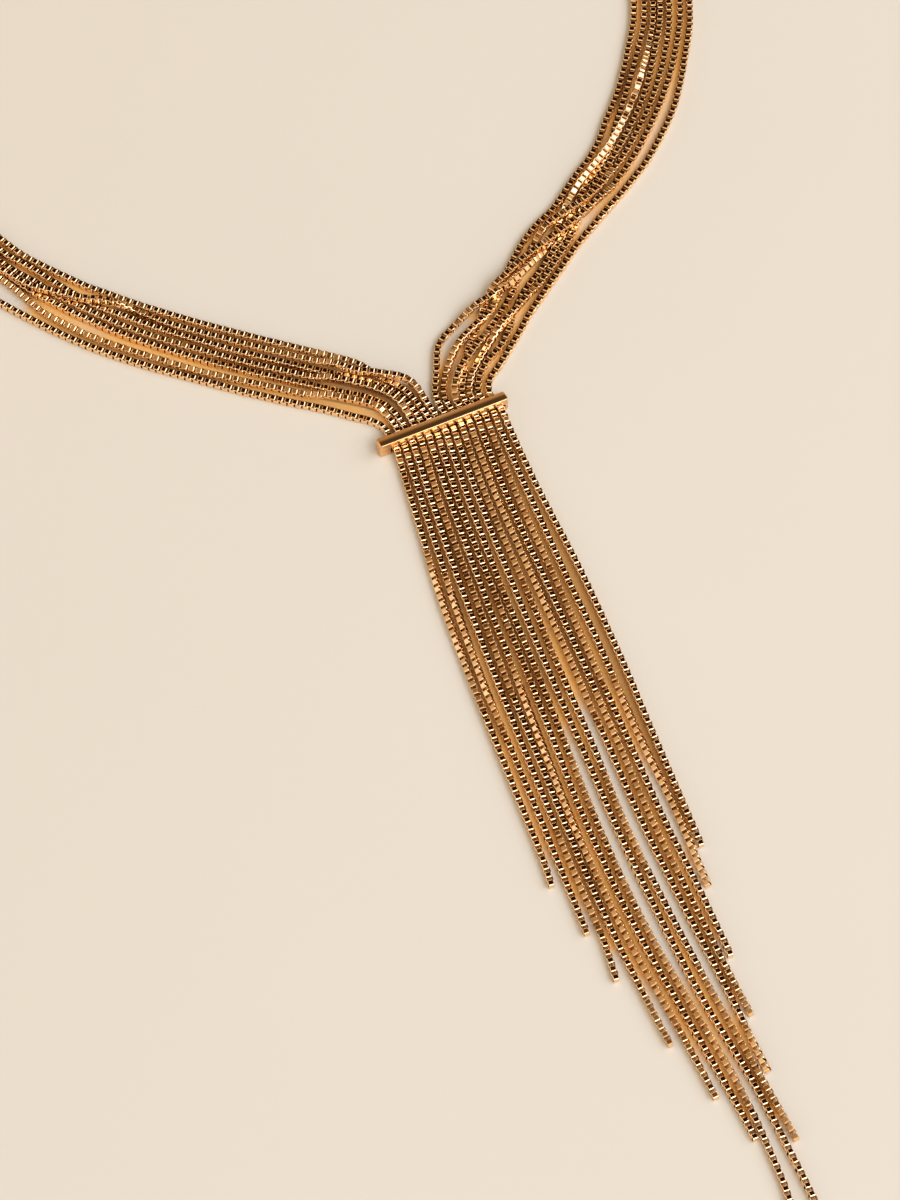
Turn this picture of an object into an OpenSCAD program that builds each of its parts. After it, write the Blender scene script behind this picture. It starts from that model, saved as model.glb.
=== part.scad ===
// Tassel necklace: seven box chains each side of the neck gather in a slider
// bar and hang on below it as a stepped tassel of fourteen ends.
// It lies flat. Origin: centre of the bar's underside, on the surface.
// X runs along the bar, Y from the bar towards the neck, Z up. Millimetres.

/* [Chains] */
// Width and height of one box chain
chain_w = 1.4; // [1:0.05:1.7]
// Free space between two chains that lie side by side
chain_gap = 0.4; // [0.2:0.05:0.8]
// Free space between a chain and the one it crosses
layer_gap = 0.15; // [0.1:0.05:0.5]
// Distance over which a chain climbs onto its neighbour
climb = 4; // [3:0.5:6]

/* [Slider bar] */
// Width of the bar, across the slot
bar_w = 2.6; // [2:0.1:4]
// Metal below the slot, and below the clasp's pockets
base_t = 0.5; // [0.3:0.05:1]
// Solid top of the bar, above the slot
top_t = 1.8; // [1:0.1:2.5]
// Radius of the top's two long edges
top_edge_r = 0.4; // [0.2:0.05:0.8]
// Solid end of the bar on the left
left_end_w = 2.35; // [1:0.05:4]
// Solid end of the bar on the right
right_end_w = 0.75; // [0.5:0.05:4]
// Radius of the bar's upright edges
bar_corner_r = 0.5; // [0.3:0.05:0.8]
// Free space above and below a chain in a slot
slot_clear = 0.15; // [0.1:0.05:0.4]
// Free space beside the outermost chains in a slot
side_clear = 0.35; // [0.3:0.05:0.8]

/* [Clasp] */
// Depth to which the chains enter the clasp
clasp_grip = 2; // [1:0.1:3]
// Free space between a chain's end and the floor of its pocket
clasp_end_clear = 0.3; // [0.2:0.05:0.6]
// Side wall of the clasp
clasp_wall = 0.9; // [0.5:0.1:2]
// Radius of the clasp's upright edges
clasp_corner_r = 1.5; // [0.5:0.1:2.5]

/* [Hidden] */

// Chain 1 of a side is the innermost one in the slot and chain 7 the outermost
per_side = 7;
left = -1;
right = 1;

// Middle line of each branch, [x, y], one point every neck_step or so
neck_step = 10;
right_line = [
  [6, 0], [9.5, 9], [16.5, 16], [25, 21.5], [33, 27], [41.5, 32.5], [50, 38.5],
  [58, 44], [66, 50.5], [73, 57.5], [79, 65.5], [84, 74], [88, 83.5],
  [91, 93], [92, 103], [91, 113], [87.5, 123], [82.5, 132], [75.5, 140],
  [67, 147], [57.5, 152.5], [47.5, 157.5], [37, 161.5], [26, 163.5], [14.5, 164]
];
left_line = [
  [-6.5, 0], [-7.5, 9.5], [-13.5, 17], [-21, 23.5], [-29, 30], [-36.5, 36.5],
  [-44, 43], [-51, 50], [-57.5, 57.5], [-63.5, 66], [-68.5, 74.5],
  [-72, 84], [-74, 94], [-74.5, 104], [-73.5, 114.5], [-70.5, 124],
  [-65.5, 133], [-58.5, 141], [-50, 147.5], [-41, 153], [-31, 157.5],
  [-20, 161], [-8.5, 163.5], [4.5, 164]
];
// Middle line of the tassel, one point every tassel_step
tassel_step = 20;
tassel_line = [
  [0, 0], [-2.5, -20], [-4.5, -40], [-6.5, -60], [-8.5, -80], [-10, -100],
  [-10.5, -120], [-10, -140], [-9.5, -160], [-10, -180], [-10.5, -200]
];

// Where the chains of a branch lie across it:
// [point on the middle line, then the place of chain 1 to 7], places in chain
// pitches from the middle line, away from the neck being positive
right_places = [
  [0.5, -3.45, -2.45, -1.3, -0.45, 0.45, 1.45, 2.6],
  [1, -3.45, -2.3, -0.9, -0.3, 0.6, 1.5, 2.7],
  [1.5, -4.2, -2.15, -0.25, -0.8, 0.85, 1.7, 3.2],
  [2, -3.7, -1.55, 0.05, -1.15, 1, 2.2, 3.3],
  [2.5, -2.9, -1.05, 0, -1.9, 1.1, 1.85, 3.1],
  [3, -1.9, -1.55, -0.35, -2.65, 1.25, 0.85, 2.65],
  [3.5, -1.1, -2.4, -0.75, -2.25, 1.45, 0.55, 2.6],
  [4, -0.6, -2.8, -1.5, -1.75, 1.5, 0.65, 2.55],
  [4.5, -0.45, -3.15, -1.9, -1, 1.35, 0.5, 2.45],
  [5, -0.65, -3.1, -1.9, -0.2, 1.15, 0.3, 2.3],
  [5.5, -1.4, -2.6, -0.95, 0.65, 0.7, -0.3, 2.55],
  [6, -1.6, -2.6, 0.15, 1.3, 0.1, -0.7, 2.8],
  [6.5, -1.55, -2.7, 0.65, 1.65, -0.2, -1.05, 3.05],
  [7, -1.35, -2.6, 0.65, 1.75, -0.2, -1.05, 3.25],
  [7.5, -1.15, -2.7, 0.75, 1.85, -0.25, -1.15, 3.5],
  [8, -1.15, -3.1, 0.75, 1.85, -0.25, -1.8, 3.55],
  [9, -1.15, -3.3, 0.85, 1.95, -0.25, -2.3, 3.6],
  [10, -1.1, -3.3, 1, 2.15, -0.2, -2.2, 3.45],
  [11.5, -0.65, -2.95, 1.2, 2.5, 0.2, -1.7, 3.65],
  [14, -1, -3, 1, 2, 0, -2, 3],
  [17, -1, -3, 1, 2, 0, -2, 3],
  [24, -1, -3, 1, 2, 0, -2, 3]
];
left_places = [
  [0.5, -3.5, -2.6, -1.7, -0.85, 0.3, 1.15, 2.45],
  [1, -3.6, -2.45, -1.55, -0.65, 0.5, 1.45, 3.2],
  [1.5, -2.45, -2.45, -1.3, -0.4, 0.65, 1.85, 3.6],
  [2, -1.8, -3.15, -1.15, -0.15, 1.05, 2.25, 3.8],
  [2.5, -2.1, -3.2, -0.95, 0, 1.2, 2.45, 3.9],
  [3, -2.1, -3.25, -0.95, 0.1, 1.25, 2.55, 4],
  [4, -2.25, -3.4, -1.05, 0.1, 1.2, 2.6, 3.95],
  [5, -2.3, -3.45, -1.15, 0, 1.2, 2.75, 3.85],
  [6, -2.45, -3.65, -1.4, -0.2, 0.9, 2.5, 3.75],
  [7, -2.65, -3.65, -1.6, -0.4, 0.7, 2.45, 3.7],
  [7.5, -2.15, -3.65, -1.6, -0.6, 0.5, 2.35, 3.65],
  [8, -1.25, -3.5, -1.8, -0.75, 0.4, 2.15, 3.55],
  [8.5, -0.65, -3.45, -2.05, -0.8, 0.3, 1.95, 3.5],
  [9, 0.1, -3.35, -2.25, -1, 0.25, 1.3, 3.5],
  [9.5, 0.1, -3.25, -2.3, -0.95, 0, 0.85, 3.5],
  [10, 0.3, -3.3, -2.1, -1.05, -0.05, 0.8, 3.5],
  [13, 0, -3, -2, -1, 1, 2, 3],
  [16, 0, -3, -2, -1, 1, 2, 3],
  [23, 0, -3, -2, -1, 1, 2, 3]
];
// Where a chain lies on top of its neighbours: [chain, from, to], along the
// branch, in millimetres
right_crossings = [
  [1, 26, 40], [1, 63, 95], [2, 18, 25], [3, 8.5, 17], [3, 51, 65],
  [4, 33, 61], [5, 25, 32]
];
left_crossings = [
  [1, 13, 21.5], [1, 73, 125], [4, 9.5, 21.5], [6, 13, 21.5]
];
// The tassel's fourteen ends from the left: [tip, place at point 1, 2 and so
// on, place at the tip], the tip in points of the middle line
tassel_places = [
  [5.3, 6.35, 7.1, 7.3, 7.3, 7.5, 7.85],
  [5.9, 5.25, 5.85, 6.15, 5.95, 6.1, 6.7],
  [6.45, 4.2, 4.6, 4.7, 4.7, 4.85, 5.4, 6.3],
  [7.3, 3.25, 3.45, 3.6, 3.55, 3.75, 4.15, 4.55, 4.6],
  [8, 2.15, 2.4, 2.45, 2.6, 2.8, 2.95, 2.95, 3.1],
  [8.55, 1.2, 1.25, 1.15, 1.35, 1.5, 1.7, 1.65, 1.5, 1.3],
  [9.35, 0.1, 0.25, 0.1, 0.15, 0.35, 0.55, 0.5, 0.3, 0.65, 1.1],
  [9.4, -1.05, -1, -1.1, -1.4, -1.4, -1.25, -0.9, -1.25, -1.45, -1.45],
  [8.7, -2, -2.25, -2.35, -2.6, -2.5, -2.45, -2.25, -2.3, -2.7],
  [7.95, -3.1, -3.5, -3.9, -4.2, -4.25, -4.2, -3.8, -3.25],
  [7.35, -4.2, -4.6, -5.05, -5.4, -5.4, -5.35, -4.85, -4.75],
  [6.7, -5.3, -5.75, -6.15, -6.5, -6.6, -6.55, -6.05],
  [5.9, -6.55, -7, -7.55, -7.85, -8.25, -7.7],
  [5.45, -7.8, -8.7, -9.2, -9.35, -9.3, -9.1]
];

// Chains
pitch = chain_w + chain_gap;
level_h = chain_w + layer_gap;
rest_z = chain_w / 2;
chain_sides = 8;
chain_r = chain_w / 2 / cos(180 / chain_sides);

// The slot, and the chains' height in it
slot_h = chain_w + 2 * slot_clear;
slot_z = base_t + slot_h / 2;
slot_l = (2 * per_side - 1) * pitch + chain_w + 2 * side_clear;
slot_x = (left_end_w - right_end_w) / 2;
// Distances from the bar within which a chain is straight, and is down again
straight = 2;
down = 6;

// Slider bar
bar_l = left_end_w + slot_l + right_end_w;
bar_h = base_t + slot_h + top_t;

// Clasp, midway between the two branches' ends
right_end = right_line[len(right_line) - 1];
left_end = left_line[len(left_line) - 1];
clasp_l = right_end.x - left_end.x + 2 * clasp_grip;
pocket_w = (per_side - 1) * pitch + chain_w + 2 * side_clear;
pocket_l = clasp_grip + clasp_end_clear;
clasp_w = pocket_w + 2 * clasp_wall;
clasp_h = 2 * base_t + slot_h;

// Rings of a chain's tube: how far apart they are, and where the close ones end
tassel_ring = 9;
neck_ring = 2.5;
back_ring = 10;
close_until = 101;
slot_ring = 2;
entry = 8;
entry_ring = 2.5;

over = 1;
gold = [0.86, 0.62, 0.36];
pale_gold = [0.9, 0.7, 0.46];

// Slope of column c at row i of a table whose first column is the position
function slope(rows, i, c) =
  let (a = max(i - 1, 0), b = min(i + 1, len(rows) - 1))
  (rows[b][c] - rows[a][c]) / (rows[b][0] - rows[a][0]);

// Row before position t
function row_before(rows, t, i = 0) =
  i >= len(rows) - 2 || t < rows[i + 1][0] ? i : row_before(rows, t, i + 1);

// Column c at position t, on a smooth curve through all rows
function smooth(rows, c, t) =
  let (
    i = row_before(rows, t),
    h = rows[i + 1][0] - rows[i][0],
    u = (t - rows[i][0]) / h
  )
  (2 * u ^ 3 - 3 * u ^ 2 + 1) * rows[i][c]
    + (u ^ 3 - 2 * u ^ 2 + u) * h * slope(rows, i, c)
    + (3 * u ^ 2 - 2 * u ^ 3) * rows[i + 1][c]
    + (u ^ 3 - u ^ 2) * h * slope(rows, i + 1, c);

// Smooth step from 0 at a to 1 at b
function ease(a, b, v) =
  let (s = min(max((v - a) / (b - a), 0), 1))
  s * s * (3 - 2 * s);

// Point at t on a middle line, moved sideways by a number of pitches
function beside(line, t, place, side) =
  let (
    rows = [for (i = [0 : len(line) - 1]) [i, line[i].x, line[i].y]],
    e = 0.01,
    dx = smooth(rows, 1, t + e) - smooth(rows, 1, t - e),
    dy = smooth(rows, 2, t + e) - smooth(rows, 2, t - e),
    move = side * place * pitch / norm([dx, dy])
  )
  [smooth(rows, 1, t) + dy * move, smooth(rows, 2, t) - dx * move];

function line_of(side) = side == right ? right_line : left_line;
function places_of(side) = side == right ? right_places : left_places;
function crossings_of(side) = side == right ? right_crossings : left_crossings;

// The chain's row in the tassel's table
function tassel_row(side, chain) =
  tassel_places[side == right ? per_side + chain - 1 : per_side - chain];

// Knots of a chain from its tip to the clasp, [way, x, y], where the way is
// counted from the bar along the middle lines, and is negative in the tassel
function tassel_knots(row) =
  let (last = len(row) - 1)
  [
    for (i = [last : -1 : 1])
      let (
        t = i == last ? row[0] : i,
        p = beside(tassel_line, t, row[i], right)
      )
      [-tassel_step * t, p.x, p.y]
  ];
function slot_knots(side, chain) =
  let (x = slot_x + side * (chain - 0.5) * pitch)
  [[-straight, x, -straight], [0, x, 0]];
function neck_knots(side, chain) =
  let (line = line_of(side), last = len(line) - 1)
  [
    for (t = [each [0.5 : 0.5 : 9.5], each [10 : 1 : last]])
      let (p = beside(line, t, smooth(places_of(side), chain, t), side))
      [neck_step * t, p.x, p.y]
  ];
function knots(side, chain) =
  concat(
    tassel_knots(tassel_row(side, chain)),
    slot_knots(side, chain),
    neck_knots(side, chain)
  );

// How far a chain is lifted onto its neighbours, from 0 to 1
function lift(side, chain, way) =
  max([
    for (c = crossings_of(side))
      c[0] == chain
        ? ease(c[1] - climb, c[1], way) * (1 - ease(c[2], c[2] + climb, way))
        : 0
  ]);

// Height of a chain's centre: level in the slot and the clasp, else resting
function height(side, chain, way, end) =
  let (
    in_bar = 1 - ease(straight, down, abs(way)),
    in_clasp = ease(end - entry, end - clasp_grip, way),
    held = max(in_bar, in_clasp)
  )
  rest_z + (slot_z - rest_z) * held
    + level_h * lift(side, chain, way) * (1 - held);

// Ways at which a chain's tube has its rings
function evenly(a, b, step) =
  let (n = ceil((b - a) / step))
  [for (i = [0 : n - 1]) a + (b - a) * i / n];
function ring_ways(tip, end) =
  concat(
    evenly(tip, -down, tassel_ring),
    evenly(-down, down, slot_ring),
    evenly(down, close_until, neck_ring),
    evenly(close_until, end - entry, back_ring),
    evenly(end - entry, end, entry_ring),
    [end]
  );

// Points of one ring, square to the chain
function ring(rows, side, chain, way, end) =
  let (
    e = 0.05,
    a = max(way - e, rows[0][0]),
    b = min(way + e, end),
    z = height(side, chain, way, end),
    rise = height(side, chain, b, end) - height(side, chain, a, end),
    ahead = [
      smooth(rows, 1, b) - smooth(rows, 1, a),
      smooth(rows, 2, b) - smooth(rows, 2, a),
      rise
    ],
    d = ahead / norm(ahead),
    aside = cross(d, [0, 0, 1]) / norm(cross(d, [0, 0, 1])),
    up = cross(aside, d),
    centre = [smooth(rows, 1, way), smooth(rows, 2, way), z]
  )
  [
    for (i = [0 : chain_sides - 1])
      let (turn = (i + 0.5) * 360 / chain_sides)
      centre + chain_r * (cos(turn) * aside + sin(turn) * up)
  ];

// Block with round upright edges, standing on z = 0
module round_block(l, w, h, r) {
  linear_extrude(h) {
    square([l - 2 * r, w], center = true);
    square([l, w - 2 * r], center = true);
    for (x = [-1, 1], y = [-1, 1])
      translate([x * (l / 2 - r), y * (w / 2 - r)])
        circle(r, $fn = 32);
  }
}

// Outline across the bar, with its two upper corners rounded
module bar_section() {
  translate([-bar_w / 2, 0])
    square([bar_w, bar_h - top_edge_r]);
  hull()
    for (y = [-1, 1])
      translate([y * (bar_w / 2 - top_edge_r), bar_h - top_edge_r])
        circle(top_edge_r, $fn = 32);
}

module slider_bar() {
  color(gold)
    difference() {
      intersection() {
        round_block(bar_l, bar_w, bar_h, bar_corner_r);
        rotate([90, 0, 90])
          linear_extrude(bar_l, center = true)
            bar_section();
      }
      translate([slot_x - slot_l / 2, -bar_w / 2 - over, base_t])
        cube([slot_l, bar_w + 2 * over, slot_h]);
    }
}

module clasp() {
  color(pale_gold)
    translate([(left_end.x + right_end.x) / 2, (left_end.y + right_end.y) / 2, 0])
      difference() {
        round_block(clasp_l, clasp_w, clasp_h, clasp_corner_r);
        for (side = [left, right])
          translate([side * (clasp_l / 2 - pocket_l / 2 + over / 2), 0, slot_z])
            cube([pocket_l + over, pocket_w, slot_h], center = true);
      }
}

// One chain, from its end in the tassel through the slot to the clasp
module chain(side, chain) {
  rows = knots(side, chain);
  end = rows[len(rows) - 1][0];
  ways = ring_ways(rows[0][0], end);
  points = [
    for (way = ways)
      each ring(rows, side, chain, way, end)
  ];
  n = chain_sides;
  last = (len(ways) - 1) * n;
  walls = [
    for (k = [0 : len(ways) - 2], i = [0 : n - 1])
      let (j = (i + 1) % n)
      each [
        [k * n + i, k * n + j, (k + 1) * n + j],
        [k * n + i, (k + 1) * n + j, (k + 1) * n + i]
      ]
  ];
  caps = [
    [for (i = [n - 1 : -1 : 0]) i],
    [for (i = [0 : n - 1]) last + i]
  ];
  color(gold)
    polyhedron(points, concat(walls, caps));
}

slider_bar();
clasp();
for (i = [1 : per_side]) {
  chain(left, i);
  chain(right, i);
}
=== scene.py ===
"""Tassel necklace: fourteen box chains, a slider bar and a clasp, link by link.

Sizes and tables are in millimetres, as in the part's source, and turn into
metres where a mesh is made. Way is the distance from the bar along a chain's
middle line, negative in the tassel.
"""

import math

import bpy
import numpy as np
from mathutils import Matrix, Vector


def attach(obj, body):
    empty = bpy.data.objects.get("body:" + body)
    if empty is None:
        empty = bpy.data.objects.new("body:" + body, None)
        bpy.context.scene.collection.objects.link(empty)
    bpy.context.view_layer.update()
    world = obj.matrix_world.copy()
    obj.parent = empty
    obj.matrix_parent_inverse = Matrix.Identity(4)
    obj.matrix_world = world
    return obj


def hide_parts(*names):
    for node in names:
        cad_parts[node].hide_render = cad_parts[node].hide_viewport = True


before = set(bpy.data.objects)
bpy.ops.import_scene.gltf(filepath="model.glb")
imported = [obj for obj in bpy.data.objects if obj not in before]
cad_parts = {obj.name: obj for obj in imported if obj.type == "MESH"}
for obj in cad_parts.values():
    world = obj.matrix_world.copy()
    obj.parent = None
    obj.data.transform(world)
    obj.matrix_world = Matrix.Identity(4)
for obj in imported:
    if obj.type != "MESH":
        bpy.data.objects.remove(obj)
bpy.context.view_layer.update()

MM = 0.001
LEFT = -1
RIGHT = 1
PER_SIDE = 7

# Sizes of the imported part: a chain, how it lies and is lifted over others, where the
# bar's slot holds it, and the ways over which it leaves the bar and enters the clasp
CHAIN_W = 1.4
CHAIN_GAP = 0.4
LAYER_GAP = 0.15
PITCH = CHAIN_W + CHAIN_GAP
LEVEL_H = CHAIN_W + LAYER_GAP
REST_Z = CHAIN_W / 2
SLOT_Z = 1.35
SLOT_X = 0.8
STRAIGHT = 2
DOWN = 6
ENTRY = 8
CLASP_GRIP = 2

# Length of a climb where one chain crosses another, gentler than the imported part's
CLIMB = 7
# Knots of a chain stand at each half point of the middle line as far as this point,
# and then at each point; links are set out along samples of the curve through them
HALF_POINTS_TO = 10
SAMPLES_PER_MM = 5

# Middle line of each branch, one point about every NECK_STEP
NECK_STEP = 10
RIGHT_LINE = (
    (6, 0), (9.5, 9), (16.5, 16), (25, 21.5), (33, 27), (41.5, 32.5), (50, 38.5),
    (58, 44), (66, 50.5), (73, 57.5), (79, 65.5), (84, 74), (88, 83.5),
    (91, 93), (92, 103), (91, 113), (87.5, 123), (82.5, 132), (75.5, 140),
    (67, 147), (57.5, 152.5), (47.5, 157.5), (37, 161.5), (26, 163.5), (14.5, 164),
)
LEFT_LINE = (
    (-6.5, 0), (-7.5, 9.5), (-13.5, 17), (-21, 23.5), (-29, 30), (-36.5, 36.5),
    (-44, 43), (-51, 50), (-57.5, 57.5), (-63.5, 66), (-68.5, 74.5),
    (-72, 84), (-74, 94), (-74.5, 104), (-73.5, 114.5), (-70.5, 124),
    (-65.5, 133), (-58.5, 141), (-50, 147.5), (-41, 153), (-31, 157.5),
    (-20, 161), (-8.5, 163.5), (4.5, 164),
)
# Middle line of the tassel, one point every TASSEL_STEP
TASSEL_STEP = 20
TASSEL_LINE = (
    (0, 0), (-2.5, -20), (-4.5, -40), (-6.5, -60), (-8.5, -80), (-10, -100),
    (-10.5, -120), (-10, -140), (-9.5, -160), (-10, -180), (-10.5, -200),
)
# Where the chains of a branch lie across it: point on the middle line, then the
# place of chain 1 to 7 in chain pitches, positive away from the neck
RIGHT_PLACES = (
    (0.5, -3.45, -2.45, -1.3, -0.45, 0.45, 1.45, 2.6),
    (1, -3.45, -2.3, -0.9, -0.3, 0.6, 1.5, 2.7),
    (1.5, -4.2, -2.15, -0.25, -0.8, 0.85, 1.7, 3.2),
    (2, -3.7, -1.55, 0.05, -1.15, 1, 2.2, 3.3),
    (2.5, -2.9, -1.05, 0, -1.9, 1.1, 1.85, 3.1),
    (3, -1.9, -1.55, -0.35, -2.65, 1.25, 0.85, 2.65),
    (3.5, -1.1, -2.4, -0.75, -2.25, 1.45, 0.55, 2.6),
    (4, -0.6, -2.8, -1.5, -1.75, 1.5, 0.65, 2.55),
    (4.5, -0.45, -3.15, -1.9, -1, 1.35, 0.5, 2.45),
    (5, -0.65, -3.1, -1.9, -0.2, 1.15, 0.3, 2.3),
    (5.5, -1.4, -2.6, -0.95, 0.65, 0.7, -0.3, 2.55),
    (6, -1.6, -2.6, 0.15, 1.3, 0.1, -0.7, 2.8),
    (6.5, -1.55, -2.7, 0.65, 1.65, -0.2, -1.05, 3.05),
    (7, -1.35, -2.6, 0.65, 1.75, -0.2, -1.05, 3.25),
    (7.5, -1.15, -2.7, 0.75, 1.85, -0.25, -1.15, 3.5),
    (8, -1.15, -3.1, 0.75, 1.85, -0.25, -1.8, 3.55),
    (9, -1.15, -3.3, 0.85, 1.95, -0.25, -2.3, 3.6),
    (10, -1.1, -3.3, 1, 2.15, -0.2, -2.2, 3.45),
    (11.5, -0.65, -2.95, 1.2, 2.5, 0.2, -1.7, 3.65),
    (14, -1, -3, 1, 2, 0, -2, 3),
    (17, -1, -3, 1, 2, 0, -2, 3),
    (24, -1, -3, 1, 2, 0, -2, 3),
)
LEFT_PLACES = (
    (0.5, -3.5, -2.6, -1.7, -0.85, 0.3, 1.15, 2.45),
    (1, -3.6, -2.45, -1.55, -0.65, 0.5, 1.45, 3.2),
    (1.5, -2.45, -2.45, -1.3, -0.4, 0.65, 1.85, 3.6),
    (2, -1.8, -3.15, -1.15, -0.15, 1.05, 2.25, 3.8),
    (2.5, -2.1, -3.2, -0.95, 0, 1.2, 2.45, 3.9),
    (3, -2.1, -3.25, -0.95, 0.1, 1.25, 2.55, 4),
    (4, -2.25, -3.4, -1.05, 0.1, 1.2, 2.6, 3.95),
    (5, -2.3, -3.45, -1.15, 0, 1.2, 2.75, 3.85),
    (6, -2.45, -3.65, -1.4, -0.2, 0.9, 2.5, 3.75),
    (7, -2.65, -3.65, -1.6, -0.4, 0.7, 2.45, 3.7),
    (7.5, -2.15, -3.65, -1.6, -0.6, 0.5, 2.35, 3.65),
    (8, -1.25, -3.5, -1.8, -0.75, 0.4, 2.15, 3.55),
    (8.5, -0.65, -3.45, -2.05, -0.8, 0.3, 1.95, 3.5),
    (9, 0.1, -3.35, -2.25, -1, 0.25, 1.3, 3.5),
    (9.5, 0.1, -3.25, -2.3, -0.95, 0, 0.85, 3.5),
    (10, 0.3, -3.3, -2.1, -1.05, -0.05, 0.8, 3.5),
    (13, 0, -3, -2, -1, 1, 2, 3),
    (16, 0, -3, -2, -1, 1, 2, 3),
    (23, 0, -3, -2, -1, 1, 2, 3),
)
# Where a chain lies on top of its neighbours: chain, from, to
RIGHT_CROSSINGS = (
    (1, 26, 40), (1, 63, 95), (2, 18, 25), (3, 8.5, 17), (3, 51, 65),
    (4, 33, 61), (5, 25, 32),
)
LEFT_CROSSINGS = (
    (1, 13, 21.5), (1, 73, 125), (4, 9.5, 21.5), (6, 13, 21.5),
)
# The tassel's fourteen ends from the left: tip, places at point 1, 2 and so on,
# and the place at the tip
TASSEL_PLACES = (
    (5.3, 6.35, 7.1, 7.3, 7.3, 7.5, 7.85),
    (5.9, 5.25, 5.85, 6.15, 5.95, 6.1, 6.7),
    (6.45, 4.2, 4.6, 4.7, 4.7, 4.85, 5.4, 6.3),
    (7.3, 3.25, 3.45, 3.6, 3.55, 3.75, 4.15, 4.55, 4.6),
    (8, 2.15, 2.4, 2.45, 2.6, 2.8, 2.95, 2.95, 3.1),
    (8.55, 1.2, 1.25, 1.15, 1.35, 1.5, 1.7, 1.65, 1.5, 1.3),
    (9.35, 0.1, 0.25, 0.1, 0.15, 0.35, 0.55, 0.5, 0.3, 0.65, 1.1),
    (9.4, -1.05, -1, -1.1, -1.4, -1.4, -1.25, -0.9, -1.25, -1.45, -1.45),
    (8.7, -2, -2.25, -2.35, -2.6, -2.5, -2.45, -2.25, -2.3, -2.7),
    (7.95, -3.1, -3.5, -3.9, -4.2, -4.25, -4.2, -3.8, -3.25),
    (7.35, -4.2, -4.6, -5.05, -5.4, -5.4, -5.35, -4.85, -4.75),
    (6.7, -5.3, -5.75, -6.15, -6.5, -6.6, -6.55, -6.05),
    (5.9, -6.55, -7, -7.55, -7.85, -8.25, -7.7),
    (5.45, -7.8, -8.7, -9.2, -9.35, -9.3, -9.1),
)

# One link: a ring of flat strip with round corners
LINK_L = 1.36
STRIP_T = 0.15
STRIP_W = 1.08
LINK_CORNER_R = 0.38
CORNER_STEPS = 2
STRIP_EDGE = 0.07
# Distance from link to link: tight in the neck, drawn out in the tassel
PITCH_WAYS = (-188, -150, -100, -40, -8, 0, 110, 130, 250)
LINK_PITCHES = (0.96, 0.95, 0.92, 0.88, 0.86, 0.78, 0.78, 0.82, 0.82)

# How a chain is turned about its own line: way, degrees
ROLLS = {
    "chain_left_7": ((-200, 0), (-72, 0), (-62, 15), (-52, 35), (-33, 35), (-26, 0), (0, 0)),
    "chain_left_6": (
        (-200, 0), (-96, 0), (-70, 8), (-62, 33), (-38, 33), (-32, 0), (0, 0),
        (14, 2), (20, 12), (95, 12),
    ),
    "chain_left_5": (
        (-200, 0), (-120, 0), (-115, 20), (-98, 20), (-92, 0), (-72, -5), (0, -5),
    ),
    "chain_left_4": (
        (-200, 12), (-138, 10), (-130, 0), (-66, 0), (-58, 14), (0, 14), (10, 3),
    ),
    "chain_left_3": (
        (-200, 10), (-145, 10), (-138, 20), (-106, 20), (-98, 34), (-62, 34), (-54, 0),
        (0, 0), (14, -3), (90, -3),
    ),
    "chain_left_2": (
        (-200, 0), (-68, 0), (-60, 8), (-30, 8), (-20, 0), (0, 0), (18, 2), (24, 5), (90, 3),
    ),
    "chain_left_1": (
        (-200, 0), (-166, 0), (-158, 22), (-138, 22), (-105, 10), (-72, 12), (0, -8),
        (8, 0), (20, 5), (60, 4), (66, -14), (76, -14), (82, 0),
    ),
    "chain_right_1": (
        (-200, 0), (-150, -4), (-80, 0), (0, 0), (28, 2), (33, 44), (43, 44), (48, 0),
        (52, -12), (57, -15), (60, -20), (72, -20), (80, -16), (97, -15), (104, -4),
    ),
    "chain_right_2": (
        (-200, 5), (-165, 16), (-137, 16), (-130, 0), (-112, 0), (-106, 16), (-88, 16),
        (-82, 0), (-68, 0), (-46, 8), (-40, 18), (-14, 18), (0, 10), (6, 14), (14, 8), (30, 0),
    ),
    "chain_right_3": (
        (-200, 33), (-152, 33), (-146, 0), (-80, 0), (-70, 25), (-14, 25), (0, 10),
        (18, 0), (120, -2),
    ),
    "chain_right_4": (
        (-200, 8), (-116, 8), (-108, 20), (-72, 20), (-66, 0), (30, 0), (38, -6),
        (70, -6), (80, 0),
    ),
    "chain_right_5": (
        (-200, 0), (-72, 0), (-65, 20), (-26, 20), (-12, 8), (0, 8), (5, 15), (24, 14), (32, 0),
    ),
    "chain_right_6": ((-200, 32), (-72, 32), (-64, 0), (0, 0)),
    "chain_right_7": ((-200, 0), (0, 0)),
}
# Slow waves added to that, by their lengths, and how far they turn the chain
WAVE_LENGTHS = (23, 41, 67)
WAVE_TURN = 2.2
# Small random turns of each link: about its chain, in degrees, then sideways and up,
# as slopes
LINK_ROLL = 2
LINK_SIDEWAYS = 0.035
LINK_UP = 0.03
# The seeds of one branch's chains start this far from the other's
SIDE_SEEDS = 100


def ease(low, high, value):
    """Smooth step from 0 at low to 1 at high."""
    s = np.clip((value - low) / (high - low), 0, 1)
    return s * s * (3 - 2 * s)


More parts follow.
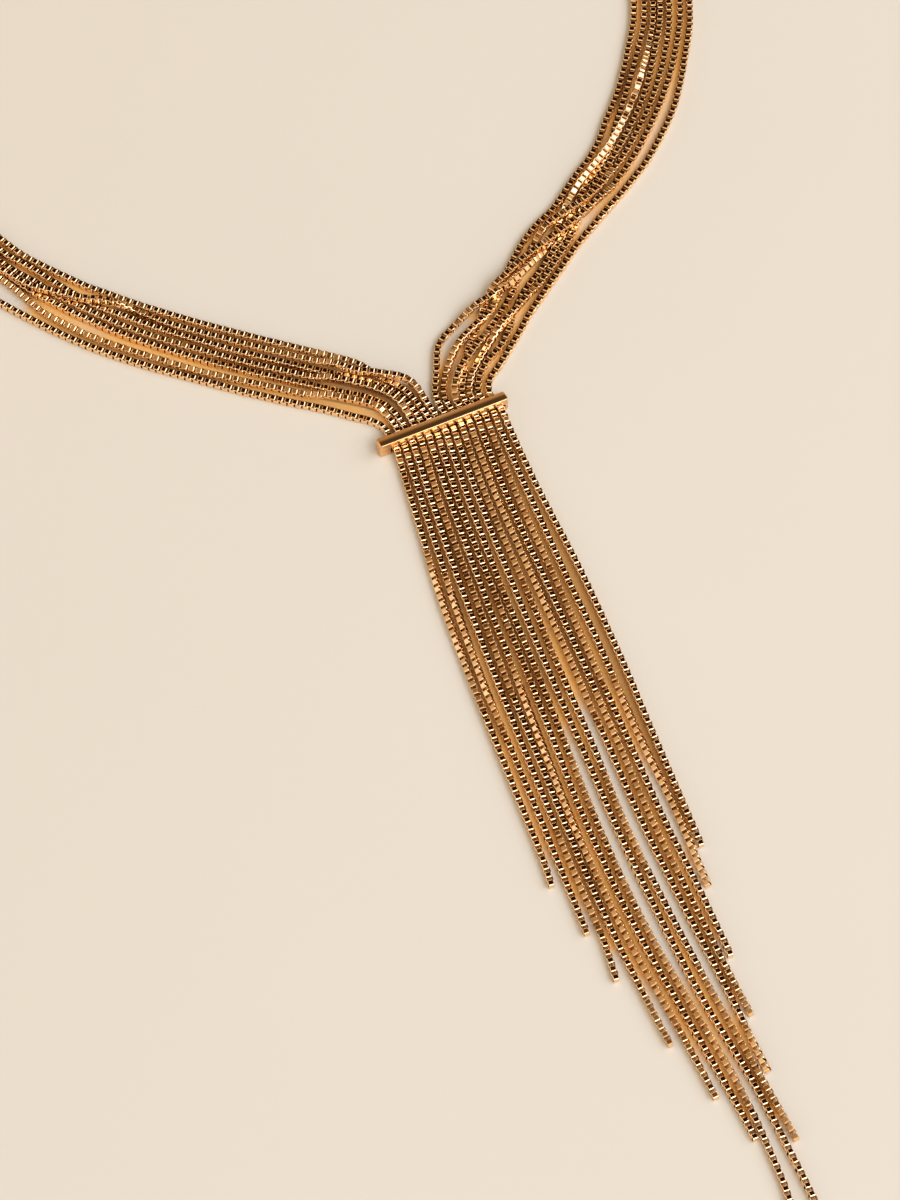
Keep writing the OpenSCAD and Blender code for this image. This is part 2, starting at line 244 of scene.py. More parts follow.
def smooth(rows, column, t):
    """A column of a table at t, on a smooth curve through all rows."""
    rows = np.asarray(rows, float)
    t = np.asarray(t, float)
    at = rows[:, 0]
    value = rows[:, column]
    slope = np.empty(len(rows))
    slope[1:-1] = (value[2:] - value[:-2]) / (at[2:] - at[:-2])
    slope[0] = (value[1] - value[0]) / (at[1] - at[0])
    slope[-1] = (value[-1] - value[-2]) / (at[-1] - at[-2])
    i = np.clip(np.searchsorted(at, t, side="right") - 1, 0, len(rows) - 2)
    h = at[i + 1] - at[i]
    u = (t - at[i]) / h
    return (
        (2 * u ** 3 - 3 * u ** 2 + 1) * value[i]
        + (u ** 3 - 2 * u ** 2 + u) * h * slope[i]
        + (3 * u ** 2 - 2 * u ** 3) * value[i + 1]
        + (u ** 3 - u ** 2) * h * slope[i + 1]
    )


def beside(line, t, place, side):
    """Point at t on a middle line, moved sideways by a number of pitches."""
    rows = [(i, x, y) for i, (x, y) in enumerate(line)]
    near = 0.01
    dx = smooth(rows, 1, t + near) - smooth(rows, 1, t - near)
    dy = smooth(rows, 2, t + near) - smooth(rows, 2, t - near)
    move = side * place * PITCH / math.hypot(dx, dy)
    return float(smooth(rows, 1, t) + dy * move), float(smooth(rows, 2, t) - dx * move)


def chain_label(side, chain):
    """Last part of a chain's name."""
    return f"{'right' if side == RIGHT else 'left'}_{chain}"


def chain_knots(side, chain):
    """Knots of a chain from its tip to the clasp: way, x, y."""
    row = TASSEL_PLACES[PER_SIDE + chain - 1 if side == RIGHT else PER_SIDE - chain]
    tip, places = row[0], row[1:]
    knots = []
    for i in range(len(places), 0, -1):
        t = tip if i == len(places) else i
        knots.append((-TASSEL_STEP * t, *beside(TASSEL_LINE, t, places[i - 1], RIGHT)))
    x = SLOT_X + side * (chain - 0.5) * PITCH
    knots += [(-STRAIGHT, x, -STRAIGHT), (0, x, 0)]
    line = RIGHT_LINE if side == RIGHT else LEFT_LINE
    table = RIGHT_PLACES if side == RIGHT else LEFT_PLACES
    half_points = [i / 2 for i in range(1, 2 * HALF_POINTS_TO)]
    for t in half_points + list(range(HALF_POINTS_TO, len(line))):
        place = float(smooth(table, chain, t))
        knots.append((NECK_STEP * t, *beside(line, t, place, side)))
    return knots


def chain_height(side, chain, way, end):
    """Height of a chain's centre, and how much the bar or clasp holds it there."""
    lift = np.zeros_like(way)
    crossings = RIGHT_CROSSINGS if side == RIGHT else LEFT_CROSSINGS
    for upper, low, high in crossings:
        if upper == chain:
            up = ease(low - CLIMB, low, way) * (1 - ease(high, high + CLIMB, way))
            lift = np.maximum(lift, up)
    in_bar = 1 - ease(STRAIGHT, DOWN, np.abs(way))
    in_clasp = ease(end - ENTRY, end - CLASP_GRIP, way)
    held = np.maximum(in_bar, in_clasp)
    return REST_Z + (SLOT_Z - REST_Z) * held + LEVEL_H * lift * (1 - held), held


def link_template():
    """Points, quads and corner normals of one link: X along the chain, Y across
    the ring, Z along the strip's width. The ring lies in XY."""
    half_l = LINK_L / 2
    half_h = CHAIN_W / 2
    outline = []
    for quarter in range(4):
        sx = (1, -1, -1, 1)[quarter]
        sy = (1, 1, -1, -1)[quarter]
        cx = sx * (half_l - LINK_CORNER_R)
        cy = sy * (half_h - LINK_CORNER_R)
        for k in range(CORNER_STEPS + 1):
            a = math.radians(90 * (quarter + k / CORNER_STEPS))
            n = (math.cos(a), math.sin(a))
            outline.append((cx + LINK_CORNER_R * n[0], cy + LINK_CORNER_R * n[1], n))
    half_w = STRIP_W / 2
    edge = STRIP_EDGE
    section = (
        (0, half_w - edge), (edge, half_w), (STRIP_T, half_w),
        (STRIP_T, -half_w), (edge, -half_w), (0, -half_w + edge),
    )
    # Normal of each strip face: share outwards, share along the width
    diagonal = math.sqrt(0.5)
    faces_out = ((diagonal, diagonal), (0, 1), (-1, 0), (0, -1), (diagonal, -diagonal), (1, 0))
    count = len(section)
    points = []
    for x, y, n in outline:
        for depth, z in section:
            points.append((x - depth * n[0], y - depth * n[1], z))
    quads = []
    normals = []
    for i in range(len(outline)):
        j = (i + 1) % len(outline)
        for k in range(count):
            m = (k + 1) % count
            quads.append((i * count + k, j * count + k, j * count + m, i * count + m))
            out, wide = faces_out[k]
            for p in (i, j, j, i):
                n = outline[p][2]
                normals.append((out * n[0], out * n[1], wide))
    return np.array(points), np.array(quads), np.array(normals)


def link_places(side, chain, random):
    """Centre and three axes of every link of one chain."""
    knots = chain_knots(side, chain)
    end = knots[-1][0]
    way = np.linspace(knots[0][0], end, int((end - knots[0][0]) * SAMPLES_PER_MM))
    z, held = chain_height(side, chain, way, end)
    line = np.stack([smooth(knots, 1, way), smooth(knots, 2, way), z], axis=1)
    along = np.concatenate([[0], np.cumsum(np.linalg.norm(np.diff(line, axis=0), axis=1))])
    spots = []
    spot = LINK_L / 2
    while spot < along[-1] - LINK_L / 2:
        spots.append(spot)
        spot += float(np.interp(np.interp(spot, along, way), PITCH_WAYS, LINK_PITCHES))
    spots = np.array(spots)
    count = len(spots)

    def point(distance):
        return np.stack([np.interp(distance, along, line[:, i]) for i in range(3)], axis=1)

    centre = point(spots)
    ahead = point(spots + LINK_L / 2) - point(spots - LINK_L / 2)
    ahead /= np.linalg.norm(ahead, axis=1)[:, None]
    aside = np.cross(ahead, (0, 0, 1))
    aside /= np.linalg.norm(aside, axis=1)[:, None]
    up = np.cross(aside, ahead)

    at_way = np.interp(spots, along, way)
    keys = np.array(ROLLS[f"chain_{chain_label(side, chain)}"], float)
    roll = np.interp(at_way, keys[:, 0], keys[:, 1])
    for length in WAVE_LENGTHS:
        roll += WAVE_TURN * np.sin(2 * math.pi * (at_way / length + random.random()))
    free = 1 - np.interp(at_way, way, held)
    roll *= free
    roll += random.normal(0, LINK_ROLL, count)
    turn = np.radians(roll)
    # Turned, a link reaches lower by its corners, so it lies a little higher
    corner = np.abs(np.mod(turn + math.pi / 4, math.pi / 2) - math.pi / 4)
    half_w = STRIP_W / 2
    reach = np.maximum(
        REST_Z * np.cos(corner) + half_w * np.sin(corner),
        REST_Z * np.sin(corner) + half_w * np.cos(corner),
    )
    centre[:, 2] += (reach - REST_Z) * free

    # Each link sits a little askew
    ahead = ahead + aside * random.normal(0, LINK_SIDEWAYS, count)[:, None]
    ahead = ahead + up * random.normal(0, LINK_UP, count)[:, None]
    ahead /= np.linalg.norm(ahead, axis=1)[:, None]
    cos = np.cos(turn)[:, None]
    sin = np.sin(turn)[:, None]
    side_axis = aside * cos + up * sin
    up_axis = up * cos - aside * sin
    # Every other ring stands upright, and those between lie flat
    odd = (np.arange(count) % 2 == 1)[:, None]
    across = np.where(odd, side_axis, up_axis)
    across = across - ahead * np.sum(across * ahead, axis=1)[:, None]
    across /= np.linalg.norm(across, axis=1)[:, None]
    width = np.cross(ahead, across)
    return centre, ahead, across, width


def mesh_from_arrays(name, points, faces, normals):
    """Mesh object in metres from points in millimetres, faces that all have the same
    number of sides, and a normal for each of their corners."""
    mesh = bpy.data.meshes.new(name)
    sides = faces.shape[1]
    mesh.vertices.add(len(points))
    mesh.vertices.foreach_set("co", (points * MM).astype(np.float32).ravel())
    mesh.loops.add(faces.size)
    mesh.loops.foreach_set("vertex_index", faces.astype(np.int32).ravel())
    mesh.polygons.add(len(faces))
    mesh.polygons.foreach_set("loop_start", np.arange(0, faces.size, sides, dtype=np.int32))
    mesh.update(calc_edges=True)
    mesh.validate()
    mesh.polygons.foreach_set("use_smooth", np.ones(len(faces), dtype=bool))
    mesh.normals_split_custom_set(normals.astype(np.float32))
    piece = bpy.data.objects.new(name, mesh)
    bpy.context.scene.collection.objects.link(piece)
    return piece


def make_chain(side, chain, template, material):
    """One chain, link by link, from its own seed. Says how many links it has."""
    random = np.random.default_rng(SIDE_SEEDS * (side + 2) + chain)
    centre, ahead, across, width = link_places(side, chain, random)
    points, quads, normals = template
    count = len(centre)
    axes = np.stack([ahead, across, width], axis=1)
    all_points = centre[:, None, :] + np.einsum("pk,nkc->npc", points, axes)
    all_normals = np.einsum("pk,nkc->npc", normals, axes)
    faces = quads[None, :, :] + (np.arange(count) * len(points))[:, None, None]
    label = chain_label(side, chain)
    piece = mesh_from_arrays(
        f"links_{label}", all_points.reshape(-1, 3), faces.reshape(-1, 4),
        all_normals.reshape(-1, 3),
    )
    finish_piece(piece, f"chain_{label}", material)
    return count


def finish_piece(piece, node, material):
    """Gives a piece its material and body, and hides the CAD node that it stands in for."""
    piece.data.materials.append(material)
    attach(piece, "root")
    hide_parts(node)


# Slider bar: the base, the walls at both ends of the slot, and the thick top
BAR_L = 28.6
BAR_W = 2.6
BAR_H = 4.0
BAR_CORNER_R = 0.5
BAR_FOOT_R = 0.4
BASE_T = 0.5
SLOT_X0 = -11.95
SLOT_X1 = 13.55
# Radius of a wall's upright edges beside the slot or pocket
INNER_R = 0.1
TOP_Z = 2.2
TOP_FOOT_R = 0.06
NEAR_EDGE_R = 0.18
FAR_EDGE_R = 0.3
# What is left of these two where the ends round off
TOP_MIN_R = 0.04
NEAR_SLOPE = math.radians(4)
FAR_SLOPE = math.radians(34)
END_R = 0.4
# How far the walls of the bar reach into the top, and any block into its neighbour
SEAM = 0.06
LAP = 0.05
# Edge radii where one block meets another, and the rim round a block's flat ends
PLATE_EDGE = 0.03
WALL_FOOT = 0.02
WALL_HEAD = 0.05
FLAT_RIM = 0.15
# Steps in a round corner seen from above, in a block's rounded edge, in a rounded
# edge or end of the bar's top, across its crown and in its lower edges
PLAN_STEPS = 6
EDGE_STEPS = 4
TOP_STEPS = 6
CROWN_STEPS = 10
FOOT_STEPS = 2
# Least radius of a corner, so that no two points of it fall together
LEAST_R = 0.01
# Edges that turn by more than this stay sharp
SHARP_ANGLE = math.radians(40)


def quarter_turn(steps):
    """Angles from 0 to 90 degrees."""
    return [math.radians(90 * k / steps) for k in range(steps + 1)]


def plan_loop(x0, x1, y0, y1, radii, z):
    """Rounded rectangle at height z; radii from the corner at x1, y1 and on
    anticlockwise."""
    corners = ((x1, y1, 1, 1), (x0, y1, -1, 1), (x0, y0, -1, -1), (x1, y0, 1, -1))
    loop = []
    for q, (x, y, sx, sy) in enumerate(corners):
        r = max(radii[q], LEAST_R)
        for k in range(PLAN_STEPS + 1):
            a = math.radians(90 * (q + k / PLAN_STEPS))
            loop.append((x - sx * r + r * math.cos(a), y - sy * r + r * math.sin(a), z))
    return loop


def loft(loops):
    """Closed skin through loops with the same number of points."""
    n = len(loops[0])
    points = [p for loop in loops for p in loop]
    faces = []
    for k in range(len(loops) - 1):
        for i in range(n):
            j = (i + 1) % n
            faces.append((k * n + i, k * n + j, (k + 1) * n + j, (k + 1) * n + i))
    faces.append(tuple(range(n - 1, -1, -1)))
    last = (len(loops) - 1) * n
    faces.append(tuple(last + i for i in range(n)))
    return points, faces


def block_loops(x0, x1, y0, y1, radii, z0, z1, foot_r, head_r):
    """Loops of an upright block whose lower and upper edges are rounded. A rim
    runs round each flat end, which keeps the shading of its middle flat."""
    turns = quarter_turn(EDGE_STEPS)
    levels = [(foot_r + FLAT_RIM, z0)]
    levels += [(foot_r * (1 - math.sin(a)), z0 + foot_r * (1 - math.cos(a))) for a in turns]
    levels += [(head_r * (1 - math.cos(a)), z1 - head_r * (1 - math.sin(a))) for a in turns]
    levels.append((head_r + FLAT_RIM, z1))
    loops = []
    for inset, z in levels:
        loops.append(plan_loop(
            x0 + inset, x1 - inset, y0 + inset, y1 - inset, [r - inset for r in radii], z
        ))
    return loops


def top_section(inset, x):
    """Outline across the bar's top part, in YZ at x, drawn in by inset: round
    edges, and a crown that falls further towards its far side."""
    half_w = BAR_W / 2 - inset
    near_r = max(NEAR_EDGE_R - inset, TOP_MIN_R)
    far_r = max(FAR_EDGE_R - inset, TOP_MIN_R)
    far_y = half_w - far_r * (1 - math.sin(FAR_SLOPE))
    near_y = near_r * (1 - math.sin(NEAR_SLOPE)) - half_w
    width = far_y - near_y
    near_tan = math.tan(NEAR_SLOPE)
    far_tan = math.tan(FAR_SLOPE)
    bend = (near_tan + far_tan) / width
    crest_rise = near_tan ** 2 / (2 * bend)
    near_z = BAR_H - inset - crest_rise
    far_z = near_z + (near_tan - far_tan) * width / 2
    loop = []
    for k in range(TOP_STEPS + 1):
        a = (math.pi / 2 - FAR_SLOPE) * k / TOP_STEPS
        y = half_w - far_r + far_r * math.cos(a)
        loop.append((x, y, far_z - far_r * math.cos(FAR_SLOPE) + far_r * math.sin(a)))
    for k in range(CROWN_STEPS - 1, 0, -1):
        v = width * k / CROWN_STEPS
        loop.append((x, near_y + v, near_z + near_tan * v - bend * v * v / 2))
    for k in range(TOP_STEPS, -1, -1):
        a = (math.pi / 2 - NEAR_SLOPE) * k / TOP_STEPS
        y = near_r - half_w - near_r * math.cos(a)
        loop.append((x, y, near_z - near_r * math.cos(NEAR_SLOPE) + near_r * math.sin(a)))
    r = TOP_FOOT_R
    centre_z = TOP_Z + inset + r
    for sign, turn in ((-1, 180), (1, 270)):
        for k in range(FOOT_STEPS + 1):
            a = math.radians(turn + 90 * k / FOOT_STEPS)
            y = sign * (half_w - r) + r * math.cos(a)
            loop.append((x, y, centre_z + r * math.sin(a)))
    return loop


def top_loops():
    """Sections of the bar's top part from end to end, with round ends."""
    half_l = BAR_L / 2
    turns = quarter_turn(TOP_STEPS)
    ends = [(END_R * (1 - math.sin(a)), END_R * (1 - math.cos(a))) for a in turns]
    loops = [top_section(inset, -half_l + back) for inset, back in ends]
    loops += [top_section(inset, half_l - back) for inset, back in reversed(ends)]
    return loops


def join_shells(name, shells):
    """One mesh object from several closed skins given in millimetres."""
    points = []
    faces = []
    for shell_points, shell_faces in shells:
        start = len(points)
        points += [tuple(c * MM for c in p) for p in shell_points]
        faces += [tuple(start + i for i in f) for f in shell_faces]
    mesh = bpy.data.meshes.new(name)
    mesh.from_pydata(points, [], faces)
    mesh.validate()
    mesh.polygons.foreach_set("use_smooth", np.ones(len(mesh.polygons), dtype=bool))
    mesh.set_sharp_from_angle(angle=SHARP_ANGLE)
    mesh.update()
    piece = bpy.data.objects.new(name, mesh)
    bpy.context.scene.collection.objects.link(piece)
    return piece


def bar_wall(x0, x1, radii):
    """Wall at one end of the bar's slot, from the base into the top."""
    half_w = BAR_W / 2
    return loft(block_loops(
        x0, x1, -half_w, half_w, radii, BASE_T - LAP, TOP_Z + SEAM, WALL_FOOT, WALL_HEAD
    ))


def make_bar(material):
    half_l = BAR_L / 2
    half_w = BAR_W / 2
    r = BAR_CORNER_R
    base = block_loops(
        -half_l, half_l, -half_w, half_w, [r] * 4, 0, BASE_T, BAR_FOOT_R, PLATE_EDGE
    )
    shells = [
        loft(top_loops()),
        loft(base),
        bar_wall(-half_l, SLOT_X0, [INNER_R, r, r, INNER_R]),
        bar_wall(SLOT_X1, half_l, [r, INNER_R, INNER_R, r]),
    ]
    piece = join_shells("slider_bar_polished", shells)
    finish_piece(piece, "slider_bar", material)


# Clasp: two plates, a wall on each long side, and a solid middle between the pockets
# that the chains end in
CLASP_X = 9.5
CLASP_Y = 164
CLASP_L = 14
CLASP_W = 14.7
CLASP_H = 2.7
CLASP_CORNER_R = 1.5
POCKET_L = 2.3
POCKET_W = 12.9
PLATE_T = 0.5
CLASP_EDGE = 0.3
MIDDLE_R = 0.2


def clasp_wall(x0, x1, y0, y1, radii):
    """Upright block between the clasp's two plates."""
    low = PLATE_T - LAP
    high = CLASP_H - PLATE_T + LAP
    return loft(block_loops(x0, x1, y0, y1, radii, low, high, WALL_FOOT, WALL_FOOT))


def make_clasp(material):
    x0 = CLASP_X - CLASP_L / 2
    x1 = CLASP_X + CLASP_L / 2
    y0 = CLASP_Y - CLASP_W / 2
    y1 = CLASP_Y + CLASP_W / 2
    wall = (CLASP_W - POCKET_W) / 2
    r = min(CLASP_CORNER_R, wall)
    radii = [CLASP_CORNER_R] * 4
    upper = CLASP_H - PLATE_T
    shells = [
        loft(block_loops(x0, x1, y0, y1, radii, 0, PLATE_T, CLASP_EDGE, PLATE_EDGE)),
        loft(block_loops(x0, x1, y0, y1, radii, upper, CLASP_H, PLATE_EDGE, CLASP_EDGE)),
        clasp_wall(x0 + POCKET_L, x1 - POCKET_L, y0 + wall / 2, y1 - wall / 2, [MIDDLE_R] * 4),
        clasp_wall(x0, x1, y0, y0 + wall, [INNER_R, INNER_R, r, r]),
        clasp_wall(x0, x1, y1 - wall, y1, [r, r, INNER_R, INNER_R]),
    ]
    piece = join_shells("clasp_box", shells)
    finish_piece(piece, "clasp", material)


# Materials
TONE_DETAIL = 3
DEEP_UP_TO = 0.35
PALE_FROM = 0.65
GRAIN_DETAIL = 4
GRAIN_DEPTH = 0.02


def material_nodes(name):
    material = bpy.data.materials.new(name)
    material.use_nodes = True
    tree = material.node_tree
    return material, tree.nodes, tree.links, tree.nodes["Principled BSDF"]


def noise(nodes, scale, detail):
    texture = nodes.new("ShaderNodeTexNoise")
    texture.inputs["Scale"].default_value = scale
    texture.inputs["Detail"].default_value = detail
    return texture


def colour_ramp(nodes, stops):
    """Colour ramp through its stops, each a position and a colour."""
    ramp = nodes.new("ShaderNodeValToRGB")
    elements = ramp.color_ramp.elements
    while len(elements) < len(stops):
        elements.new(0.5)
    for element, (position, colour) in zip(elements, stops):
        element.position = position
        element.color = (*colour, 1)
    return ramp


def gold(name, pale, deep, roughness, tone_scale, grain_scale, grain_stretch, bump):
    """Plated metal: tone drifts slowly, gloss and a fine grain vary quickly."""
    material, nodes, links, shader = material_nodes(name)
    shader.inputs["Metallic"].default_value = 1
    place = nodes.new("ShaderNodeTexCoord")
    tone = noise(nodes, tone_scale, TONE_DETAIL)
    links.new(place.outputs["Object"], tone.inputs["Vector"])
    ramp = colour_ramp(nodes, ((DEEP_UP_TO, deep), (PALE_FROM, pale)))
    links.new(tone.outputs["Fac"], ramp.inputs["Fac"])
    links.new(ramp.outputs["Color"], shader.inputs["Base Color"])
    stretch = nodes.new("ShaderNodeMapping")
    stretch.inputs["Scale"].default_value = grain_stretch
    links.new(place.outputs["Object"], stretch.inputs["Vector"])
    fine = noise(nodes, grain_scale, GRAIN_DETAIL)
    links.new(stretch.outputs["Vector"], fine.inputs["Vector"])
    gloss = nodes.new("ShaderNodeMapRange")
    gloss.inputs["To Min"].default_value = roughness[0]
    gloss.inputs["To Max"].default_value = roughness[1]
    links.new(fine.outputs["Fac"], gloss.inputs["Value"])
    links.new(gloss.outputs["Result"], shader.inputs["Roughness"])
    relief = nodes.new("ShaderNodeBump")
    relief.inputs["Strength"].default_value = bump
    relief.inputs["Distance"].default_value = GRAIN_DEPTH * MM
    links.new(fine.outputs["Fac"], relief.inputs["Height"])
    links.new(relief.outputs["Normal"], shader.inputs["Normal"])
    return material


def box_chain_gold():
    return gold(
        "box_chain_gold", pale=(0.96, 0.68, 0.40), deep=(0.94, 0.63, 0.34),
        roughness=(0.04, 0.11), tone_scale=120, grain_scale=4000,
        grain_stretch=(1, 1, 1), bump=0.15,
    )


def polished_bar_gold():
    return gold(
        "polished_bar_gold", pale=(0.88, 0.56, 0.28), deep=(0.85, 0.51, 0.23),
        roughness=(0.25, 0.32), tone_scale=60, grain_scale=2500,
        grain_stretch=(0.1, 1, 1), bump=0.02,
    )


def satin_clasp_gold():
    return gold(
        "satin_clasp_gold", pale=(0.94, 0.67, 0.4), deep=(0.9, 0.61, 0.34),
        roughness=(0.2, 0.32), tone_scale=60, grain_scale=2500,
        grain_stretch=(1, 0.15, 1), bump=0.15,
    )


# Floor
FLOOR_HALF = 3000
FLOOR_Z = -0.02
FLOOR_ROUGHNESS = 0.75
FLOOR_TONES = ((0, (0.678, 0.640, 0.556)), (1, (0.702, 0.662, 0.577)))
MOTTLE_SCALE = 9
MOTTLE_DETAIL = 2
# Painted light and shade on it between neighbouring chains: bright gold for the glow that
# their sides throw down, deep gold for the shade in the narrowest gaps. 0 is plain floor,
# FULL_GLOW bright gold and 1 deep gold
PAINTED_GLOW_NAME = "painted_gold_glow_and_shade"
FULL_GLOW = 0.5
PAINTED_GLOW_AND_SHADE_TONES = ((FULL_GLOW, (0.84, 0.50, 0.16)), (1, (0.27, 0.122, 0.034)))
# Strips that hold the painted glow and shade: height, distance from point to point, how
# far they go up the branches, and the length over which they fade out at their ends
GLOW_Z = -0.01
GLOW_STEP = 2
GLOW_REACH = 140
GLOW_FADE = 8
# Gap that shows deep gold painted shade, the widest gap that shows bright gold painted
# light, and the gap from which the floor is plain; in the tassel the last two go by way
DEEP_PAINTED_SHADE_GAP = 0.2
RIGHT_GLOW_GAPS = (0.8, 2.6)
LEFT_GLOW_GAPS = (1.6, 2.6)
GLOW_WAYS = (-74, -62)
TASSEL_FULL_GAPS = (1, 1.6)
TASSEL_NO_GAPS = (1.45, 2.3)
# Least painted glow and shade in each gap of the tassel, from the left
TASSEL_LEAST_GLOWS = (0, 0, 0, 0, 0, 0, 0, 0, 0, 0, 0, 0, 0.8)


def floor_material():
    material, nodes, links, shader = material_nodes("pale_floor_with_painted_glow")
    shader.inputs["Roughness"].default_value = FLOOR_ROUGHNESS
    place = nodes.new("ShaderNodeTexCoord")
    mottle = noise(nodes, MOTTLE_SCALE, MOTTLE_DETAIL)
    links.new(place.outputs["Object"], mottle.inputs["Vector"])
    plain = colour_ramp(nodes, FLOOR_TONES)
    links.new(mottle.outputs["Fac"], plain.inputs["Fac"])
    # Painted light and shade: between chains that stand close, the floor's colour is painted
    # with the gold light their sides throw on it, and with deep gold where it lies in their
    # shade
    glow = nodes.new("ShaderNodeAttribute")
    glow.attribute_name = PAINTED_GLOW_NAME
    painted_tones = colour_ramp(nodes, PAINTED_GLOW_AND_SHADE_TONES)
    links.new(glow.outputs["Fac"], painted_tones.inputs["Fac"])
    share = nodes.new("ShaderNodeMapRange")
    share.inputs["From Max"].default_value = FULL_GLOW
    links.new(glow.outputs["Fac"], share.inputs["Value"])
    warm = nodes.new("ShaderNodeMix")
    warm.data_type = "RGBA"
    links.new(share.outputs["Result"], warm.inputs["Factor"])
    links.new(painted_tones.outputs["Color"], warm.inputs["B"])
    links.new(plain.outputs["Color"], warm.inputs["A"])
    links.new(warm.outputs["Result"], shader.inputs["Base Color"])
    return material


def chain_points(side, chain, ways):
    """Plan of a chain's middle line at the given ways."""
    knots = chain_knots(side, chain)
    return np.stack([smooth(knots, 1, ways), smooth(knots, 2, ways)], axis=1)


def glow_strip(start, end, full_gap, no_gap, least=0):
    """Floor strip from one chain to the next, given by both middle lines: points
    in millimetres, quads, and the painted glow and shade of each point."""
    gap = np.linalg.norm(end - start, axis=1) - CHAIN_W
    # Painted glow and shade by gap: deep gold shade where the chains nearly touch, bright gold
    # light in wider gaps, plain floor in wide ones
    glow = 1 - (ease(full_gap, no_gap, gap) + ease(DEEP_PAINTED_SHADE_GAP, full_gap, gap)) / 2
    count = len(gap)
    left_over = GLOW_STEP * np.arange(count)[::-1]
    glow = np.maximum(glow, least) * ease(0, GLOW_FADE, left_over)
    points = [(x, y, GLOW_Z) for pair in zip(start, end) for x, y in pair]
    quads = [(2 * i, 2 * i + 1, 2 * i + 3, 2 * i + 2) for i in range(count - 1)]
    return points, quads, list(np.repeat(glow, 2))


def tassel_strips():
    """Strips of painted glow and shade between neighbouring chains of the tassel."""
    row = [(LEFT, c) for c in range(PER_SIDE, 0, -1)]
    row += [(RIGHT, c) for c in range(1, PER_SIDE + 1)]
    strips = []
    for i, least in enumerate(TASSEL_LEAST_GLOWS):
        tip = min(TASSEL_PLACES[i][0], TASSEL_PLACES[i + 1][0])
        ways = -np.arange(0, TASSEL_STEP * tip, GLOW_STEP)
        start = chain_points(*row[i], ways)
        end = chain_points(*row[i + 1], ways)
        full_gap = np.interp(ways, GLOW_WAYS, TASSEL_FULL_GAPS)
        no_gap = np.interp(ways, GLOW_WAYS, TASSEL_NO_GAPS)
        strips.append(glow_strip(start, end, full_gap, no_gap, least))
    return strips


def branch_strips(side, table, gaps):
    """Strips of painted glow and shade between neighbouring chains of a branch, sorted
    across it at each way, because its chains cross."""
    ways = np.arange(0, GLOW_REACH, GLOW_STEP)
    chains = range(1, PER_SIDE + 1)
    lines = np.stack([chain_points(side, c, ways) for c in chains])
    t = np.maximum(ways / NECK_STEP, table[0][0])
    order = np.argsort(np.stack([smooth(table, c, t) for c in chains]), axis=0)
    lines = np.take_along_axis(lines, order[:, :, None], axis=0)
    return [glow_strip(lines[k], lines[k + 1], *gaps) for k in range(PER_SIDE - 1)]


def make_floor():
    """Pale floor, with a strip of it between neighbouring chains that holds how
    much painted gold light and shade it shows."""
    strips = tassel_strips()
    strips += branch_strips(RIGHT, RIGHT_PLACES, RIGHT_GLOW_GAPS)
    strips += branch_strips(LEFT, LEFT_PLACES, LEFT_GLOW_GAPS)
    half = FLOOR_HALF
    corners = [(-half, -half), (half, -half), (half, half), (-half, half)]
    points = [(x, y, FLOOR_Z) for x, y in corners]
    faces = [(0, 1, 2, 3)]
    glows = [0.0] * len(points)
    for strip_points, quads, strip_glows in strips:
        start = len(points)
        points += strip_points
        faces += [tuple(start + i for i in quad) for quad in quads]
        glows += strip_glows
    mesh = bpy.data.meshes.new("floor")
    mesh.from_pydata([tuple(c * MM for c in p) for p in points], [], faces)
    # Painted glow and shade of each point
    mesh.attributes.new(PAINTED_GLOW_NAME, "FLOAT", "POINT").data.foreach_set("value", glows)
    floor = bpy.data.objects.new("floor", mesh)
    bpy.context.scene.collection.objects.link(floor)
    mesh.materials.append(floor_material())


# Camera and studio, in metres. The photo's own axes: e to its right, n up it, z
# upwards. The bar is turned in it, and the camera leans back from straight down.
BAR_TURN = math.radians(24.4)
CAMERA_TILT = math.radians(31)
CAMERA_DISTANCE = 1.2
CAMERA_AIM = (-0.01535, -0.03769, 0)
FOCAL_PER_HALF_HEIGHT = 10
SENSOR_H = 36
CLIP_NEAR = 0.01
CLIP_FAR = 20
# Softboxes: name, azimuth, elevation, size, power, colour
SOFTBOX_DISTANCE = 3
SOFTBOXES = (
    ("key", 0, 45, (3.4, 2.3), 52, (0.94, 1.0, 1.14)),
    ("front", -50, 50, (1.7, 1.8), 36, (0.94, 1.0, 1.14)),
    ("side", 180, 14, (3.2, 1.5), 5, (0.9, 1, 1.2)),
)
# The room grows dark towards one side: a stop's place is the cosine of the angle
# from there
DARK_AZIMUTH = 88
DARK_ELEVATION = 50
ROOM_STOPS = (
    (0.20, (1.08, 0.92, 0.72)),
    (0.65, (0.60, 0.45, 0.28)),
    (0.84, (0.40, 0.27, 0.14)),
    (0.90, (0.15, 0.078, 0.029)),
    (0.935, (0.048, 0.019, 0.006)),
    (0.965, (0.016, 0.006, 0.002)),
)
GLOSSY_BOUNCES = 3


def from_photo(e, n, z):
    """A direction given in the photo's axes, in the part's axes."""
    c = math.cos(BAR_TURN)
    s = math.sin(BAR_TURN)
    return Vector((e * c + n * s, -e * s + n * c, z))


def direction(azimuth, elevation):
    """Unit vector, by degrees from the photo's right and degrees above the floor."""
    a = math.radians(azimuth)
    e = math.radians(elevation)
    return from_photo(math.cos(e) * math.cos(a), math.cos(e) * math.sin(a), math.sin(e))


def look_at(thing, place, target):
    """Puts a camera or light at a place and points it at a target."""
    thing.location = place
    thing.rotation_euler = (Vector(target) - Vector(place)).to_track_quat("-Z", "Y").to_euler()


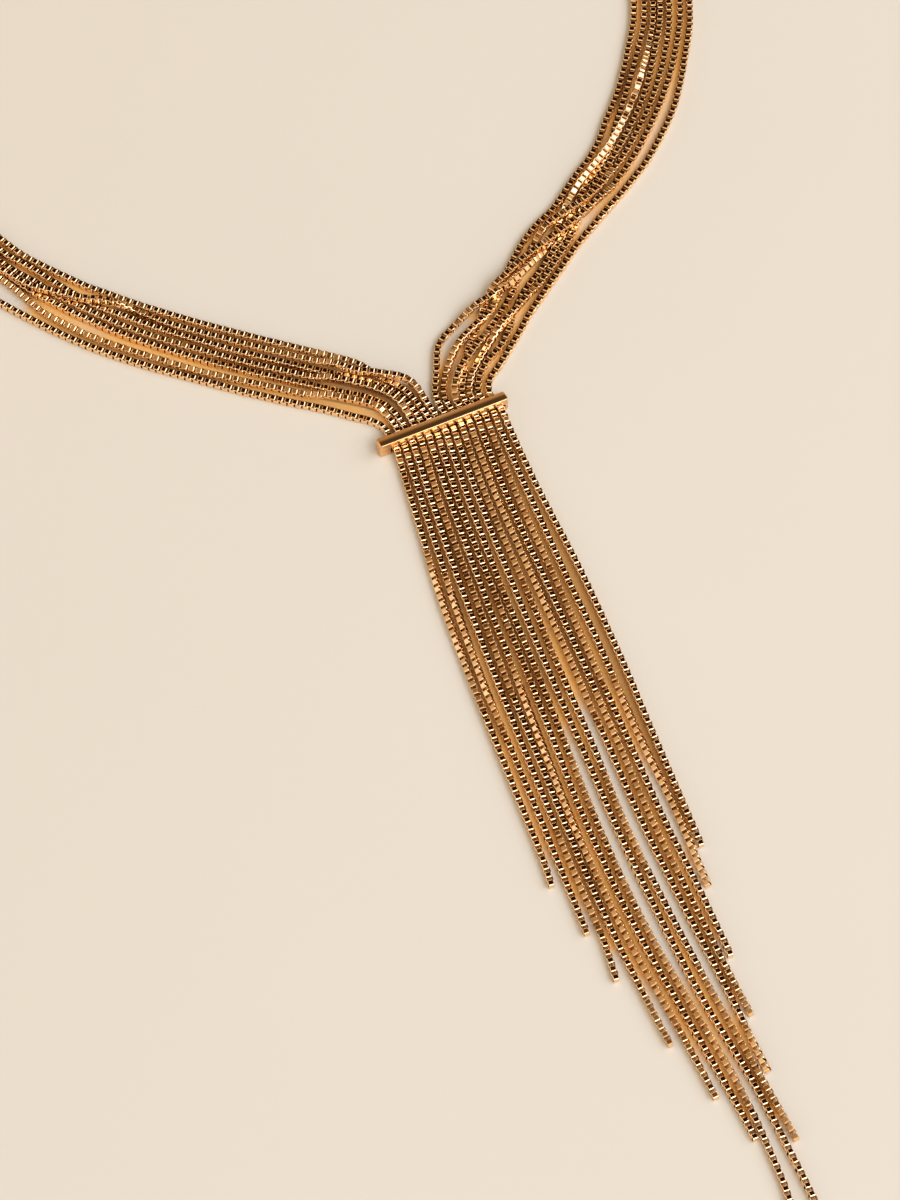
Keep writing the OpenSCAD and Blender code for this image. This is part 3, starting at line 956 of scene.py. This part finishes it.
def make_camera():
    data = bpy.data.cameras.new("photo_camera")
    data.sensor_fit = "VERTICAL"
    data.sensor_height = SENSOR_H
    data.lens = SENSOR_H / 2 * FOCAL_PER_HALF_HEIGHT
    data.clip_start = CLIP_NEAR
    data.clip_end = CLIP_FAR
    camera = bpy.data.objects.new("photo_camera", data)
    bpy.context.scene.collection.objects.link(camera)
    back = from_photo(0, -math.sin(CAMERA_TILT), math.cos(CAMERA_TILT))
    look_at(camera, Vector(CAMERA_AIM) + back * CAMERA_DISTANCE, CAMERA_AIM)
    bpy.context.scene.camera = camera


def softbox(name, azimuth, elevation, size, power, colour):
    """Soft light aimed at the middle of the view."""
    data = bpy.data.lights.new(name, "AREA")
    data.shape = "RECTANGLE"
    data.size, data.size_y = size
    data.energy = power
    data.color = colour
    light = bpy.data.objects.new(name, data)
    bpy.context.scene.collection.objects.link(light)
    place = Vector(CAMERA_AIM) + direction(azimuth, elevation) * SOFTBOX_DISTANCE
    look_at(light, place, CAMERA_AIM)
    light.visible_camera = False


def make_room():
    """Surroundings that light the scene and stand in its reflections."""
    world = bpy.data.worlds.new("studio")
    bpy.context.scene.world = world
    world.use_nodes = True
    nodes = world.node_tree.nodes
    links = world.node_tree.links
    place = nodes.new("ShaderNodeTexCoord")
    toward = nodes.new("ShaderNodeVectorMath")
    toward.operation = "DOT_PRODUCT"
    toward.inputs[1].default_value = direction(DARK_AZIMUTH, DARK_ELEVATION)
    links.new(place.outputs["Generated"], toward.inputs[0])
    ramp = colour_ramp(nodes, ROOM_STOPS)
    links.new(toward.outputs["Value"], ramp.inputs["Fac"])
    links.new(ramp.outputs["Color"], nodes["Background"].inputs["Color"])


def make_studio():
    for box in SOFTBOXES:
        softbox(*box)
    make_room()
    scene = bpy.context.scene
    scene.view_settings.view_transform = "Standard"
    scene.cycles.glossy_bounces = GLOSSY_BOUNCES


def main():
    make_camera()
    make_studio()
    make_floor()
    chain_gold = box_chain_gold()
    template = link_template()
    count = 0
    for chain in range(1, PER_SIDE + 1):
        for side in (LEFT, RIGHT):
            count += make_chain(side, chain, template, chain_gold)
    make_bar(polished_bar_gold())
    make_clasp(satin_clasp_gold())
    quads = template[1]
    print("links", count, "triangles", 2 * count * len(quads))


main()
